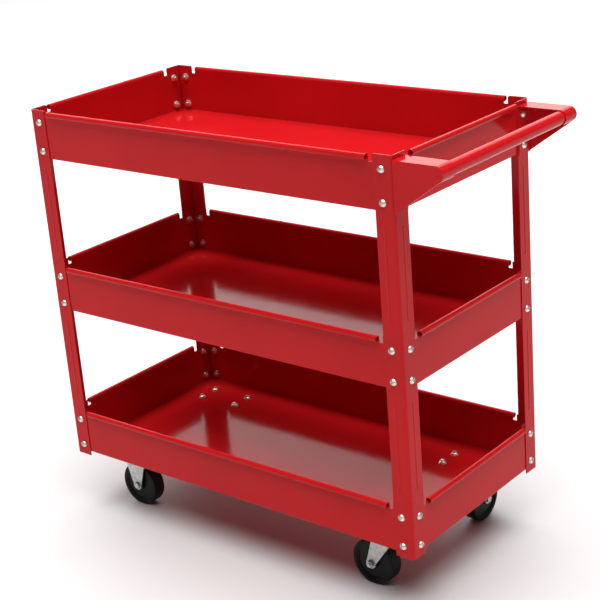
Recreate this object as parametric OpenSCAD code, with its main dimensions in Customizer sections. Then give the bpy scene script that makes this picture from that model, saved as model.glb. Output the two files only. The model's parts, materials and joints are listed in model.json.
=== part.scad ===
// Three-tray tool cart on two fixed and two swivel castors, with a push handle at its +X end.
// Millimetres, +Z up. The origin is on the floor, under the middle of the cart's bounding box.

/* [Body] */
// Length over the posts, along X
body_l = 700; // [560:1:900]
// Width over the posts, along Y
body_w = 343; // [300:1:460]
// Height of the posts
post_h = 600; // [560:1:760]
// Sheet thickness of the posts
post_t = 1.6; // [1.2:0.1:2]
// Width of each leg of a post
post_leg = 31; // [28:1:34]

/* [Trays] */
// Height of a tray, over its rolled rim
tray_h = 78; // [74:1:96]
// Height from one tray to the next
tray_pitch = 257.5; // [240:0.5:300]
// Sheet thickness of the trays
sheet_t = 1.2; // [0.9:0.1:1.5]
// Diameter of the rolled rim
rim_d = 9; // [7:0.5:10]
// Distance between the two screws in a tray corner
screw_pitch = 46.5; // [40:0.5:50]

/* [Handle] */
// Diameter of the handle tube
tube_d = 20; // [18:1:25]
// Distance from the posts to the middle of the handle tube
handle_reach = 68; // [55:1:90]
// Height of the handle brackets at the posts
bracket_h = 74; // [70:1:80]
// Depth of a bracket's flanges
bracket_depth = 30; // [26:1:34]

/* [Castors] */
// Height of a castor, from the floor to the top of its plate
castor_h = 106; // [104:1:115]
// Diameter of the wheels
wheel_d = 75; // [65:1:76]
// Width of the wheels
wheel_w = 24; // [20:1:26]
// Distance from the middle of the cart to the castors, along X
castor_x = 262; // [230:1:270]
// Distance from the middle of the cart to the castors, along Y
castor_y = 110; // [90:1:112]
// Distance from a swivel castor's kingpin to its axle
trail = 27; // [20:1:30]
// Direction in which the front swivel castor trails, from +X
front_trail_angle = 180; // [0:5:360]
// Direction in which the rear swivel castor trails, from +X
rear_trail_angle = 90; // [0:5:360]

/* [Hidden] */
$fn = 48;
eps = 0.01;
cut = 1;

// Powder-coated steel, zinc plate, wheel plastic and tyre rubber
paint = "#b0141e";
zinc = "#b9bcb8";
core_black = "#1f1f1f";
tyre_black = "#161616";

// Posts: they stand a little below the bottom tray
post_drop = 6;
post_z = castor_h - post_drop;
post_bend_r = 4.5;
rib_len = 132;
rib_r = 2.7;
rib_groove_r = 1.4;
rib_sink = 0.1;

// Trays: the walls stand against the insides of the posts
tray_l = body_l - 2 * post_t;
tray_w = body_w - 2 * post_t;
tray_bend_r = 2.5;
corner_gap = 3;
tab_w = post_leg - post_t - 1;
notch_w = 7;
notch_depth = 11;
wall_screw_z = 12.5;

// Tray screws: M6 with domed heads, and flanged nuts inside
screw_inset = 18;
screw_r = 3;
hole_r = 3.25;
head_r = 5.5;
head_dome_r = 6;
head_h = 4.5;
recess_l = 5.6;
recess_w = 1.2;
recess_depth = 2;
nut_flat = 10;
nut_h = 5;
nut_flange_r = 6.4;
nut_flange_h = 1.2;
nut_bore_r = 3.05;
screw_end = 1.4;

// Handle: the brackets are sheet, wrapped round the tube's ends
bracket_t = 1.5;
nose_r = tube_d / 2 + bracket_t;
tube_t = 1.5;
top_screw_z = castor_h + 2 * tray_pitch + wall_screw_z + screw_pitch / 2;
bracket_top = top_screw_z + bracket_h / 2;
tube_x = body_l / 2 + handle_reach;
tube_z = bracket_top - nose_r;
nose_wrap_end = 235;

// Castors
plate_l = 96;
plate_w = 54;
plate_t = 2.5;
plate_corner_r = 6;
plate_hole_x = 39;
plate_hole_y = 17.5;
axle_z = wheel_d / 2;
fork_t = 2.5;
fork_gap = wheel_w + 4;
fork_top_z = castor_h - 8.5;
fork_tip_r = 8.5;
fork_bend_r = 2.5;
crown_half = 27;
swivel_crown_half = 20;
crown_edge = 6.5;
crown_r = 24;
race_h = 3;
skirt_t = 1.6;
kingpin_r = 5;
kingpin_head_r = 9;
kingpin_head_h = 2.5;
swivel_gap = 0.3;
skirt_h = castor_h - plate_t - fork_top_z - swivel_gap;
pin_clearance = 0.08;
ball_r = 2.5;
ball_ring_r = 17.5;
ball_count = 16;
ball_z = castor_h - 7;
race_gap = 0.3;
axle_r = 3;
axle_hole_r = 3.1;
axle_flat = 10;
axle_head_h = 3;
axle_nut_h = 4.5;
axle_end = 1.5;
sleeve_r = 5;
sleeve_bore_r = 3.05;
hub_r = 10;
hub_half = fork_gap / 2 - 1;
web_half = wheel_w / 2 - 2.5;
core_rim_t = 3;
core_rim_half = wheel_w / 2 - 1;
tyre_t = 7;
tyre_shoulder_r = 3;

// Castors, each as its place in X and Y, its trail and the direction of its trail
castor_front_left = [-castor_x, -castor_y, 0, 0];
castor_rear_left = [-castor_x, castor_y, 0, 180];
castor_front_right = [castor_x, -castor_y, trail, front_trail_angle];
castor_rear_right = [castor_x, castor_y, trail, rear_trail_angle];

// The box runs from the left tray's rim to the handle's nose, so its middle is off the posts' middle
rim_reach = rim_d - sheet_t - post_t;
box_shift = (handle_reach + nose_r - rim_reach) / 2;

module about_box() {
    translate([-box_shift, 0, 0]) children();
}

// ---- Trays ----

// Section of a tray wall in the XZ plane: outer face on X = 0, inside towards +X
module wall_section(top) {
    intersection() {
        difference() {
            translate([tray_bend_r, tray_bend_r]) circle(tray_bend_r);
            translate([tray_bend_r, tray_bend_r]) circle(tray_bend_r - sheet_t);
        }
        square(tray_bend_r);
    }
    translate([0, tray_bend_r]) square([sheet_t, top - tray_bend_r]);
}

// Section of the rim: the sheet curls outwards into a tube
module rim_section() {
    translate([sheet_t - rim_d / 2, tray_h - rim_d / 2]) difference() {
        circle(rim_d / 2);
        circle(rim_d / 2 - sheet_t);
    }
}

// One wall with its rim, centred on Y, with screw holes in its two end tabs
module tray_wall(length, outer_half) {
    rim_len = length - 2 * (tab_w + notch_w);
    screw_y = outer_half - screw_inset;
    difference() {
        union() {
            rotate([90, 0, 0]) linear_extrude(length, center = true)
                wall_section(tray_h - notch_depth);
            rotate([90, 0, 0]) linear_extrude(rim_len, center = true)
                wall_section(tray_h - rim_d / 2);
            rotate([90, 0, 0]) linear_extrude(rim_len, center = true)
                rim_section();
            for (side = [-1, 1])
                translate([0, side * (length - tab_w) / 2, tray_h - notch_depth - cut])
                    translate([0, -tab_w / 2, 0])
                        cube([sheet_t, tab_w, notch_depth + cut]);
        }
        for (side = [-1, 1], level = [0, 1])
            translate([-cut, side * screw_y, wall_screw_z + level * screw_pitch])
                rotate([0, 90, 0]) cylinder(h = sheet_t + 2 * cut, r = hole_r);
    }
}

module tray_body() {
    floor_l = tray_l - 2 * tray_bend_r;
    floor_w = tray_w - 2 * tray_bend_r;
    translate([-floor_l / 2, -floor_w / 2, 0]) cube([floor_l, floor_w, sheet_t]);
    for (turn = [0, 180]) rotate(turn) {
        translate([-tray_l / 2, 0, 0]) tray_wall(tray_w - 2 * corner_gap, body_w / 2);
        rotate(90) translate([-tray_w / 2, 0, 0]) tray_wall(tray_l - 2 * corner_gap, body_l / 2);
    }
}

module tray(level) {
    color(paint) about_box() translate([0, 0, castor_h + level * tray_pitch]) tray_body();
}

module bottom_tray() {
    color(paint) about_box() translate([0, 0, castor_h]) difference() {
        tray_body();
        at_castor_holes() translate([0, 0, -cut]) cylinder(h = sheet_t + 2 * cut, r = hole_r);
    }
}

// ---- Posts ----

// Angle section with its bend at the origin corner and its legs along +X and +Y
module angle_section() {
    translate([post_bend_r, 0]) square([post_leg - post_bend_r, post_t]);
    translate([0, post_bend_r]) square([post_t, post_leg - post_bend_r]);
    intersection() {
        difference() {
            translate([post_bend_r, post_bend_r]) circle(post_bend_r);
            translate([post_bend_r, post_bend_r]) circle(post_bend_r - post_t);
        }
        square(post_bend_r);
    }
}

// A round-ended bar along Z
module capsule(length, r) {
    cylinder(h = length, r = r, center = true);
    for (side = [-1, 1]) translate([0, 0, side * length / 2]) sphere(r);
}

// Middle heights of the ribs, above the foot of the post: one between each two trays
function rib_levels() = [for (level = [0, 1]) post_drop + (level + 0.5) * tray_pitch + tray_h / 2];

// Puts its children at each rib, with +Y as the direction out of the leg's inner face
module at_post_ribs() {
    for (z = rib_levels()) {
        translate([screw_inset, post_t + rib_sink, z]) children();
        translate([post_t + rib_sink, screw_inset, z]) children();
    }
}

// A post with its bend on the corner at the origin and its legs along +X and +Y
module post_body() {
    difference() {
        union() {
            linear_extrude(post_h) angle_section();
            at_post_ribs() capsule(rib_len, rib_r);
        }
        at_post_ribs() capsule(rib_len, rib_groove_r);
        translate([post_t, post_t, -cut]) cube([post_leg, post_leg, post_h + 2 * cut]);
        for (level = [0 : 2], row = [0, 1]) {
            z = post_drop + level * tray_pitch + wall_screw_z + row * screw_pitch;
            translate([screw_inset, -cut, z]) rotate([-90, 0, 0])
                cylinder(h = post_t + 2 * cut, r = hole_r);
            translate([-cut, screw_inset, z]) rotate([0, 90, 0])
                cylinder(h = post_t + 2 * cut, r = hole_r);
        }
    }
}

// side_x and side_y are -1 or 1: the corner that the post stands at
module post(side_x, side_y) {
    color(paint) about_box() translate([side_x * body_l / 2, side_y * body_w / 2, post_z])
        mirror([side_x > 0 ? 1 : 0, 0, 0]) mirror([0, side_y > 0 ? 1 : 0, 0]) post_body();
}

// ---- Handle ----

module handle_tube() {
    length = body_w - 2 * bracket_t;
    color(paint) about_box() translate([tube_x, 0, tube_z]) rotate([90, 0, 0]) difference() {
        cylinder(h = length, r = tube_d / 2, center = true);
        cylinder(h = length + 2 * cut, r = tube_d / 2 - tube_t, center = true);
    }
}

// Outline of a bracket's side in the XZ plane, with X from the posts' ends
module bracket_outline() {
    top = bracket_h / 2;
    centre = [handle_reach, top - nose_r];
    corner = [0, -top];
    run = norm(centre - corner);
    lean = atan2(centre[1] - corner[1], centre[0] - corner[0]) - asin(nose_r / run);
    tangent_at = centre + nose_r * [sin(lean), -cos(lean)];
    translate(centre) circle(nose_r);
    polygon([corner, tangent_at, centre, [handle_reach, top], [0, top]]);
}

// The wrap round the tube: from its top, over its far side, to underneath
module nose_section() {
    reach = 3 * nose_r;
    wrap_end = reach * [cos(nose_wrap_end), sin(nose_wrap_end)];
    difference() {
        circle(nose_r);
        circle(tube_d / 2);
        polygon([
            [0, 0], [0, reach], [-reach, reach], [-reach, wrap_end[1]], wrap_end
        ]);
    }
}

// The front bracket, its side on the front of the posts
module bracket_body() {
    top = bracket_h / 2;
    rotate([90, 0, 0]) translate([0, 0, -bracket_t]) linear_extrude(bracket_t) bracket_outline();
    translate([0, 0, top - bracket_t]) cube([handle_reach, bracket_depth, bracket_t]);
    translate([handle_reach, bracket_depth, top - nose_r]) rotate([90, 0, 0])
        linear_extrude(bracket_depth) nose_section();
    difference() {
        translate([0, 0, -top]) cube([bracket_t, bracket_depth, bracket_h]);
        for (row = [-1, 1])
            translate([-cut, screw_inset, row * screw_pitch / 2]) rotate([0, 90, 0])
                cylinder(h = bracket_t + 2 * cut, r = hole_r);
    }
}

module handle_bracket(side_y) {
    color(paint) about_box() mirror([0, side_y > 0 ? 1 : 0, 0])
        translate([body_l / 2, -body_w / 2, top_screw_z]) bracket_body();
}

// ---- Fasteners ----

// A screw along +Z, with its head's underside at the origin and its shank going down
module screw(grip) {
    shank = grip + nut_h + screw_end;
    difference() {
        union() {
            intersection() {
                translate([0, 0, head_h - head_dome_r]) sphere(head_dome_r);
                cylinder(h = head_h, r = head_r);
            }
            translate([0, 0, -shank]) cylinder(h = shank, r = screw_r);
        }
        for (turn = [0, 90]) rotate(turn)
            translate([-recess_l / 2, -recess_w / 2, head_h - recess_depth])
                cube([recess_l, recess_w, recess_depth + cut]);
    }
}

// A flanged nut along +Z, with its seat at the origin
module nut() {
    difference() {
        union() {
            cylinder(h = nut_flange_h, r = nut_flange_r);
            intersection() {
                cylinder(h = nut_h, r = nut_flat / 2 / cos(30), $fn = 6);
                translate([0, 0, nut_h - nut_flat]) sphere(nut_flat);
            }
        }
        translate([0, 0, -cut]) cylinder(h = nut_h + 2 * cut, r = nut_bore_r);
    }
}

function screw_levels(level) = [
    for (row = [0, 1]) castor_h + level * tray_pitch + wall_screw_z + row * screw_pitch
];

// Puts its children at a tray's front and rear screws, with +Z out of the posts' faces
module at_side_screws(level) {
    for (side_x = [-1, 1], side_y = [-1, 1], z = screw_levels(level))
        translate([side_x * (body_l / 2 - screw_inset), side_y * body_w / 2, z])
            rotate([side_y * -90, 0, 0]) children();
}

// The same at one end of a tray
module at_end_screws(level, side_x) {
    for (side_y = [-1, 1], z = screw_levels(level))
        translate([side_x * body_l / 2, side_y * (body_w / 2 - screw_inset), z])
            rotate([0, side_x * 90, 0]) children();
}

// The top tray's screws hold the handle's brackets too, at its +X end
module tray_screws(level) {
    grip = post_t + sheet_t;
    flange_t = level == 2 ? bracket_t : 0;
    color(zinc) about_box() {
        at_side_screws(level) screw(grip);
        at_end_screws(level, -1) screw(grip);
        at_end_screws(level, 1) translate([0, 0, flange_t]) screw(grip + flange_t);
    }
}

module wall_nut() {
    translate([0, 0, -post_t - sheet_t]) mirror([0, 0, 1]) nut();
}

module tray_nuts(level) {
    color(zinc) about_box() {
        at_side_screws(level) wall_nut();
        at_end_screws(level, -1) wall_nut();
        at_end_screws(level, 1) wall_nut();
    }
}

module at_plate_holes() {
    for (side_x = [-1, 1], side_y = [-1, 1])
        translate([side_x * plate_hole_x, side_y * plate_hole_y, 0]) children();
}

module at_castor_holes() {
    for (side_x = [-1, 1], side_y = [-1, 1])
        translate([side_x * castor_x, side_y * castor_y, 0]) at_plate_holes() children();
}

module castor_screws() {
    color(zinc) about_box() at_castor_holes()
        translate([0, 0, castor_h - plate_t]) mirror([0, 0, 1]) screw(plate_t + sheet_t);
}

module castor_nuts() {
    color(zinc) about_box() at_castor_holes() translate([0, 0, castor_h + sheet_t]) nut();
}

// ---- Castors ----

module rounded_slab(length, width, r, h) {
    for (side_x = [-1, 1], side_y = [-1, 1])
        translate([side_x * (length / 2 - r), side_y * (width / 2 - r), 0]) cylinder(h = h, r = r);
    translate([-length / 2, -width / 2 + r, 0]) cube([length, width - 2 * r, h]);
    translate([-length / 2 + r, -width / 2, 0]) cube([length - 2 * r, width, h]);
}

// Puts its children under a castor's middle, square to the cart
module at_plate(castor) {
    about_box() translate([castor[0], castor[1], 0]) children();
}

// The same, turned so that the castor trails along +X
module at_fork(castor) {
    at_plate(castor) rotate(castor[3]) children();
}

// Puts its children at a wheel's centre, with +Z along the axle
module at_axle(castor) {
    at_fork(castor) translate([castor[2], 0, axle_z]) rotate([90, 0, 0]) children();
}

module plate_body() {
    translate([0, 0, castor_h - plate_t]) difference() {
        rounded_slab(plate_l, plate_w, plate_corner_r, plate_t);
        at_plate_holes() translate([0, 0, -cut]) cylinder(h = plate_t + 2 * cut, r = hole_r);
    }
}

module fixed_plate(castor) {
    color(zinc) at_plate(castor) plate_body();
}

// The ring that the swivel's balls run in, half in the plate and half in the fork
module ball_groove() {
    translate([0, 0, ball_z]) rotate_extrude()
        translate([ball_ring_r, 0]) circle(ball_r + race_gap);
}

// A swivel castor's plate carries the upper race, a thick ring with a skirt round the balls
module swivel_plate(castor) {
    color(zinc) at_plate(castor) difference() {
        union() {
            plate_body();
            translate([0, 0, castor_h - plate_t - race_h]) cylinder(h = race_h + eps, r = crown_r);
            translate([0, 0, castor_h - plate_t - skirt_h]) difference() {
                cylinder(h = skirt_h + eps, r = crown_r);
                translate([0, 0, -cut]) cylinder(h = skirt_h + 2 * cut, r = crown_r - skirt_t);
            }
        }
        ball_groove();
        cylinder(h = castor_h + cut, r = kingpin_r);
    }
}

// Outline of a fork's leg in the XZ plane: from a round tip at the axle up to the crown,
// whose middle is crown_x from the axle and whose length is twice half_l
module leg_outline(crown_x, half_l, rise) {
    circle(fork_tip_r);
    polygon([
        [-fork_tip_r, 0], [crown_x - half_l, rise], [crown_x + half_l, rise], [fork_tip_r, 0]
    ]);
}

// A flat-bottomed shape with two round upper corners, standing on the X axis
module arch(half, top, r) {
    translate([-half, 0]) square([2 * half, top - r]);
    translate([r - half, 0]) square([2 * (half - r), top]);
    for (side = [-1, 1]) translate([side * (half - r), top - r]) circle(r);
}

// Two legs under a crown with rounded bends, its middle over the origin and the axle at offset
module fork_body(offset, half_l, top_z) {
    half = fork_gap / 2;
    shoulder_z = top_z - crown_edge;
    translate([-half_l, 0, shoulder_z]) rotate([90, 0, 90])
        linear_extrude(2 * half_l) difference() {
            arch(half + fork_t, crown_edge, fork_bend_r + fork_t);
            translate([0, -cut]) arch(half, crown_edge - fork_t + cut, fork_bend_r);
        }
    for (side = [0, 1])
        translate([offset, half + fork_t - side * (fork_gap + fork_t), axle_z]) rotate([90, 0, 0])
            linear_extrude(fork_t) difference() {
                leg_outline(-offset, half_l, shoulder_z - axle_z);
                circle(axle_hole_r);
            }
}

module fixed_fork(castor) {
    color(zinc) at_fork(castor) fork_body(castor[2], crown_half, castor_h - plate_t);
}

// A swivel castor's fork carries the lower race and turns on the kingpin
module swivel_fork(castor) {
    color(zinc) at_fork(castor) difference() {
        union() {
            fork_body(castor[2], swivel_crown_half, fork_top_z);
            translate([0, 0, fork_top_z - fork_t]) cylinder(h = fork_t, r = crown_r + 1);
        }
        ball_groove();
        translate([0, 0, fork_top_z - fork_t - cut])
            cylinder(h = fork_t + 2 * cut, r = kingpin_r + pin_clearance);
    }
}

module kingpin(castor) {
    head_top = fork_top_z - fork_t - swivel_gap;
    color(zinc) at_plate(castor) {
        translate([0, 0, head_top]) cylinder(h = castor_h - head_top, r = kingpin_r);
        translate([0, 0, head_top - kingpin_head_h])
            cylinder(h = kingpin_head_h + eps, r = kingpin_head_r);
    }
}

module swivel_balls(castor) {
    color(zinc) at_plate(castor) for (step = [0 : ball_count - 1])
        rotate(step * 360 / ball_count) translate([ball_ring_r, 0, ball_z]) sphere(ball_r);
}

module axle_bolt(castor) {
    seat = fork_gap / 2 + fork_t;
    color(zinc) at_axle(castor) {
        translate([0, 0, -seat - axle_nut_h - axle_end])
            cylinder(h = 2 * seat + axle_nut_h + axle_end, r = axle_r);
        translate([0, 0, seat]) cylinder(h = axle_head_h, r = axle_flat / 2 / cos(30), $fn = 6);
    }
}

module axle_nut(castor) {
    seat = fork_gap / 2 + fork_t;
    color(zinc) at_axle(castor) mirror([0, 0, 1]) translate([0, 0, seat]) difference() {
        cylinder(h = axle_nut_h, r = axle_flat / 2 / cos(30), $fn = 6);
        translate([0, 0, -cut]) cylinder(h = axle_nut_h + 2 * cut, r = sleeve_bore_r);
    }
}

// The tube that the wheel turns on, clamped between the fork's legs
module axle_sleeve(castor) {
    color(zinc) at_axle(castor) difference() {
        cylinder(h = fork_gap, r = sleeve_r, center = true);
        cylinder(h = fork_gap + 2 * cut, r = sleeve_bore_r, center = true);
    }
}

// The core's section, with X from the axle: hub, web and rim
module core_section() {
    core_r = wheel_d / 2 - tyre_t;
    bore = sleeve_r + pin_clearance;
    translate([bore, -hub_half]) square([hub_r - bore, 2 * hub_half]);
    translate([bore, -web_half]) square([core_r - bore, 2 * web_half]);
    translate([core_r - core_rim_t, -core_rim_half]) square([core_rim_t, 2 * core_rim_half]);
}

module wheel_core(castor) {
    color(core_black) at_axle(castor) rotate_extrude() core_section();
}

// The tyre's section: square inside, with round shoulders at the tread
module tyre_section() {
    outer = wheel_d / 2;
    half = wheel_w / 2;
    translate([outer - tyre_t, -half]) square([tyre_t - tyre_shoulder_r, wheel_w]);
    translate([outer - tyre_t, -half + tyre_shoulder_r]) square([tyre_t, wheel_w - 2 * tyre_shoulder_r]);
    for (side = [-1, 1])
        translate([outer - tyre_shoulder_r, side * (half - tyre_shoulder_r)]) circle(tyre_shoulder_r);
}

module tyre(castor) {
    color(tyre_black) at_axle(castor) rotate_extrude() tyre_section();
}

tray(2);  // tray_top
tray(1);  // tray_middle
bottom_tray();  // tray_bottom
post(-1, -1);  // post_front_left
post(1, -1);  // post_front_right
post(-1, 1);  // post_rear_left
post(1, 1);  // post_rear_right
handle_tube();
handle_bracket(-1);  // handle_bracket_front
handle_bracket(1);  // handle_bracket_rear
tray_screws(2);  // screws_top
tray_screws(1);  // screws_middle
tray_screws(0);  // screws_bottom
tray_nuts(2);  // nuts_top
tray_nuts(1);  // nuts_middle
tray_nuts(0);  // nuts_bottom
castor_screws();
castor_nuts();
fixed_plate(castor_front_left);  // plate_front_left
fixed_plate(castor_rear_left);  // plate_rear_left
swivel_plate(castor_front_right);  // plate_front_right
swivel_plate(castor_rear_right);  // plate_rear_right
fixed_fork(castor_front_left);  // fork_front_left
fixed_fork(castor_rear_left);  // fork_rear_left
swivel_fork(castor_front_right);  // fork_front_right
swivel_fork(castor_rear_right);  // fork_rear_right
kingpin(castor_front_right);  // kingpin_front_right
kingpin(castor_rear_right);  // kingpin_rear_right
swivel_balls(castor_front_right);  // swivel_balls_front_right
swivel_balls(castor_rear_right);  // swivel_balls_rear_right
axle_bolt(castor_front_left);  // axle_bolt_front_left
axle_bolt(castor_rear_left);  // axle_bolt_rear_left
axle_bolt(castor_front_right);  // axle_bolt_front_right
axle_bolt(castor_rear_right);  // axle_bolt_rear_right
axle_nut(castor_front_left);  // axle_nut_front_left
axle_nut(castor_rear_left);  // axle_nut_rear_left
axle_nut(castor_front_right);  // axle_nut_front_right
axle_nut(castor_rear_right);  // axle_nut_rear_right
axle_sleeve(castor_front_left);  // axle_sleeve_front_left
axle_sleeve(castor_rear_left);  // axle_sleeve_rear_left
axle_sleeve(castor_front_right);  // axle_sleeve_front_right
axle_sleeve(castor_rear_right);  // axle_sleeve_rear_right
wheel_core(castor_front_left);  // wheel_core_front_left
wheel_core(castor_rear_left);  // wheel_core_rear_left
wheel_core(castor_front_right);  // wheel_core_front_right
wheel_core(castor_rear_right);  // wheel_core_rear_right
tyre(castor_front_left);  // tyre_front_left
tyre(castor_rear_left);  // tyre_rear_left
tyre(castor_front_right);  // tyre_front_right
tyre(castor_rear_right);  // tyre_rear_right
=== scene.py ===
"""The tool cart's looks: materials, floor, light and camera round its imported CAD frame."""
import json
import math

import bpy
from mathutils import Euler, Matrix, Vector

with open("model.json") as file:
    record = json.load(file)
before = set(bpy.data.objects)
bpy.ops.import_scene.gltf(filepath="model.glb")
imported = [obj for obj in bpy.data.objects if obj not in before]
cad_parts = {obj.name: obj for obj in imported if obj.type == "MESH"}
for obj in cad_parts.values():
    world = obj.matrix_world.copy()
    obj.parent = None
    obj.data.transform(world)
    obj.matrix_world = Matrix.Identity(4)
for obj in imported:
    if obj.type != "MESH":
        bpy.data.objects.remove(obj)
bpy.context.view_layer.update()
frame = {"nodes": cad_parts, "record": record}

# Camera: place and depth of view in metres, directions in degrees, lens and sensor in millimetres
CAMERA_PLACE = (1.425, -1.681, 1.209)
CAMERA_AZIMUTH = 40.43
CAMERA_ELEVATION = 20.44
CAMERA_ROLL = -4.68
CAMERA_LENS = 89.6
CAMERA_SENSOR = 36
CAMERA_DEPTH = 60

# Light: a wide soft sun in W/m2, a white panel behind the cart in W, and a weak white surround
LIGHT_AIM = (0, 0, 0.4)
SKY_PLACE = (0.35, -0.4, 4)
SKY_LIGHT = 4.9
SKY_ANGLE = 60
PANEL_PLACE = (-2.9, 3.4, 3.0)
PANEL_LENGTH = 7
PANEL_HEIGHT = 3.4
PANEL_LIGHT = 165
WORLD_LIGHT = 0.08

# Floor: metres from the middle to an edge, two greys and the roughness
FLOOR_REACH = 40
FLOOR_DARK = 0.61
FLOOR_LIGHT = 0.63
FLOOR_ROUGHNESS = 0.7

# The darkest and the lightest colour of each metal
RED_DARK = (0.50, 0.008, 0.011)
RED_LIGHT = (0.56, 0.010, 0.013)
ZINC_DARK = (0.36, 0.37, 0.36)
ZINC_LIGHT = (0.56, 0.57, 0.56)
BRIGHT_ZINC_DARK = (0.74, 0.71, 0.64)
BRIGHT_ZINC_LIGHT = (0.90, 0.87, 0.80)

# Starts of the names of the zinc nodes that look brighter than the castors
BRIGHT_ZINC_NODES = ("screws", "nuts", "castor_screws", "castor_nuts")


# ---- Materials ----

def new_material(name):
    """A new material with its node tree and its Principled shader."""
    material = bpy.data.materials.new(name)
    material.use_nodes = True
    tree = material.node_tree
    return material, tree, tree.nodes["Principled BSDF"]


def add_node(tree, kind, **values):
    """A node with attributes, or inputs by name, set."""
    node = tree.nodes.new(kind)
    for key, value in values.items():
        if hasattr(node, key):
            setattr(node, key, value)
        else:
            node.inputs[key.replace("_", " ")].default_value = value
    return node


def noise(tree, scale, detail):
    """Noise in a piece's object coordinates, which are in metres."""
    place = add_node(tree, "ShaderNodeTexCoord")
    node = add_node(tree, "ShaderNodeTexNoise", Scale=scale, Detail=detail, Roughness=0.5)
    tree.links.new(place.outputs["Object"], node.inputs["Vector"])
    return node.outputs["Fac"]


def vary(tree, socket, factor, low, high, start=0.3, end=0.7):
    """Lets a socket run from one colour or level to another as a factor goes from start to end."""
    node = add_node(tree, "ShaderNodeValToRGB")
    for element, place, colour in zip(node.color_ramp.elements, (start, end), (low, high)):
        element.position = place
        element.color = (*colour, 1) if isinstance(colour, tuple) else (colour, colour, colour, 1)
    tree.links.new(factor, node.inputs["Fac"])
    tree.links.new(node.outputs["Color"], socket)


def bump(tree, shader, height, distance, strength, after=None):
    """Adds bump from a height, over earlier normals if there are any."""
    node = add_node(tree, "ShaderNodeBump", Strength=strength, Distance=distance)
    tree.links.new(height, node.inputs["Height"])
    if after:
        tree.links.new(after, node.inputs["Normal"])
    tree.links.new(node.outputs["Normal"], shader.inputs["Normal"])
    return node.outputs["Normal"]


def powder_coat():
    """Glossy red powder coat: orange peel over faint waves in the sheet, and softened edges."""
    material, tree, shader = new_material("red_powder_coat")
    vary(tree, shader.inputs["Base Color"], noise(tree, scale=6, detail=3), RED_DARK, RED_LIGHT)
    vary(tree, shader.inputs["Roughness"], noise(tree, scale=45, detail=4), low=0.09, high=0.14)
    shader.inputs["IOR"].default_value = 1.22
    edges = add_node(tree, "ShaderNodeBevel", Radius=0.0006).outputs["Normal"]
    waves = bump(tree, shader, noise(tree, scale=14, detail=1), distance=0.0012, strength=0.2, after=edges)
    bump(tree, shader, noise(tree, scale=600, detail=2), distance=0.0001, strength=0.15, after=waves)
    return material


def zinc_plate(name, dark, light, roughness, spread=0.08):
    """Zinc plate with a fine crystal grain."""
    material, tree, shader = new_material(name)
    shader.inputs["Metallic"].default_value = 1.0
    vary(tree, shader.inputs["Base Color"], noise(tree, scale=160, detail=4), dark, light)
    vary(tree, shader.inputs["Roughness"], noise(tree, scale=220, detail=4),
         roughness - spread, roughness + spread)
    bump(tree, shader, noise(tree, scale=1200, detail=2), distance=0.00005, strength=0.3)
    return material


def moulded_black(name, dark, light, roughness, grain, spread=0.07):
    """Black plastic or rubber; a higher grain gives a finer surface."""
    material, tree, shader = new_material(name)
    vary(tree, shader.inputs["Base Color"], noise(tree, scale=80, detail=5), dark, light,
         start=0.35, end=0.75)
    vary(tree, shader.inputs["Roughness"], noise(tree, scale=150, detail=4),
         roughness - spread, roughness + spread)
    shader.inputs["Specular IOR Level"].default_value = 0.2
    bump(tree, shader, noise(tree, scale=grain, detail=3), distance=0.0001, strength=0.3)
    return material


def dress_nodes():
    """Gives every CAD node its slot's material, and the small fasteners a brighter zinc."""
    looks = {
        "paint": powder_coat(),
        "zinc": zinc_plate("zinc_plate", ZINC_DARK, ZINC_LIGHT, roughness=0.36),
        "wheel_plastic": moulded_black("wheel_plastic", 0.003, 0.006, roughness=0.45, grain=900),
        "tyre_rubber": moulded_black("tyre_rubber", 0.004, 0.008, roughness=0.6, grain=1500),
    }
    bright_zinc = zinc_plate("bright_zinc", BRIGHT_ZINC_DARK, BRIGHT_ZINC_LIGHT, roughness=0.42)
    for part in frame["record"]["subparts"]:
        is_bright = part["node"].startswith(BRIGHT_ZINC_NODES)
        look = bright_zinc if is_bright else looks[part["material_slot"]]
        for slot in frame["nodes"][part["node"]].material_slots:
            slot.material = look


# ---- Floor, light and camera ----

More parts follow.
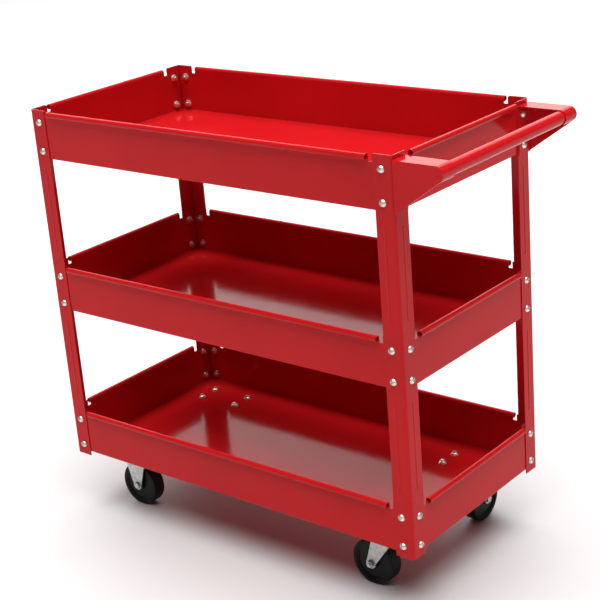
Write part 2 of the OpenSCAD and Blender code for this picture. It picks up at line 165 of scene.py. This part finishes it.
def make_floor():
    """A pale square floor at z = 0."""
    mesh = bpy.data.meshes.new("floor")
    corners = [(x * FLOOR_REACH, y * FLOOR_REACH, 0) for x, y in ((-1, -1), (1, -1), (1, 1), (-1, 1))]
    mesh.from_pydata(corners, [], [(0, 1, 2, 3)])
    floor = bpy.data.objects.new("floor", mesh)
    bpy.context.scene.collection.objects.link(floor)
    material, tree, shader = new_material("pale_floor")
    vary(tree, shader.inputs["Base Color"], noise(tree, scale=3, detail=2), FLOOR_DARK, FLOOR_LIGHT)
    shader.inputs["Roughness"].default_value = FLOOR_ROUGHNESS
    mesh.materials.append(material)


def make_world():
    """A weak, even white surround."""
    world = bpy.data.worlds.new("studio")
    world.use_nodes = True
    background = world.node_tree.nodes["Background"]
    background.inputs["Color"].default_value = (1, 1, 1, 1)
    background.inputs["Strength"].default_value = WORLD_LIGHT
    bpy.context.scene.world = world


def add_light(kind, name, place, energy):
    """A light that looks at the middle of the object."""
    light = bpy.data.lights.new(name, kind)
    light.energy = energy
    lamp = bpy.data.objects.new(name, light)
    lamp.location = place
    lamp.rotation_euler = (Vector(LIGHT_AIM) - Vector(place)).to_track_quat("-Z", "Y").to_euler()
    bpy.context.scene.collection.objects.link(lamp)
    return light


def make_lights():
    """The wide sun above, and the panel behind the cart."""
    sky = add_light("SUN", "soft_sky", SKY_PLACE, SKY_LIGHT)
    sky.angle = math.radians(SKY_ANGLE)
    panel = add_light("AREA", "back_panel", PANEL_PLACE, PANEL_LIGHT)
    panel.shape = "RECTANGLE"
    panel.size = PANEL_LENGTH
    panel.size_y = PANEL_HEIGHT


def make_camera():
    """The photograph's point of view."""
    camera = bpy.data.objects.new("camera", bpy.data.cameras.new("camera"))
    camera.data.lens = CAMERA_LENS
    camera.data.sensor_width = CAMERA_SENSOR
    camera.data.clip_end = CAMERA_DEPTH
    camera.location = CAMERA_PLACE
    tilt = Euler((math.radians(90 - CAMERA_ELEVATION), 0, math.radians(CAMERA_AZIMUTH))).to_matrix()
    roll = Matrix.Rotation(math.radians(CAMERA_ROLL), 3, "Z")
    camera.rotation_euler = (tilt @ roll).to_euler()
    bpy.context.scene.collection.objects.link(camera)
    bpy.context.scene.camera = camera


make_camera()
make_world()
make_lights()
make_floor()
dress_nodes()
bpy.context.scene.view_settings.view_transform = "Standard"
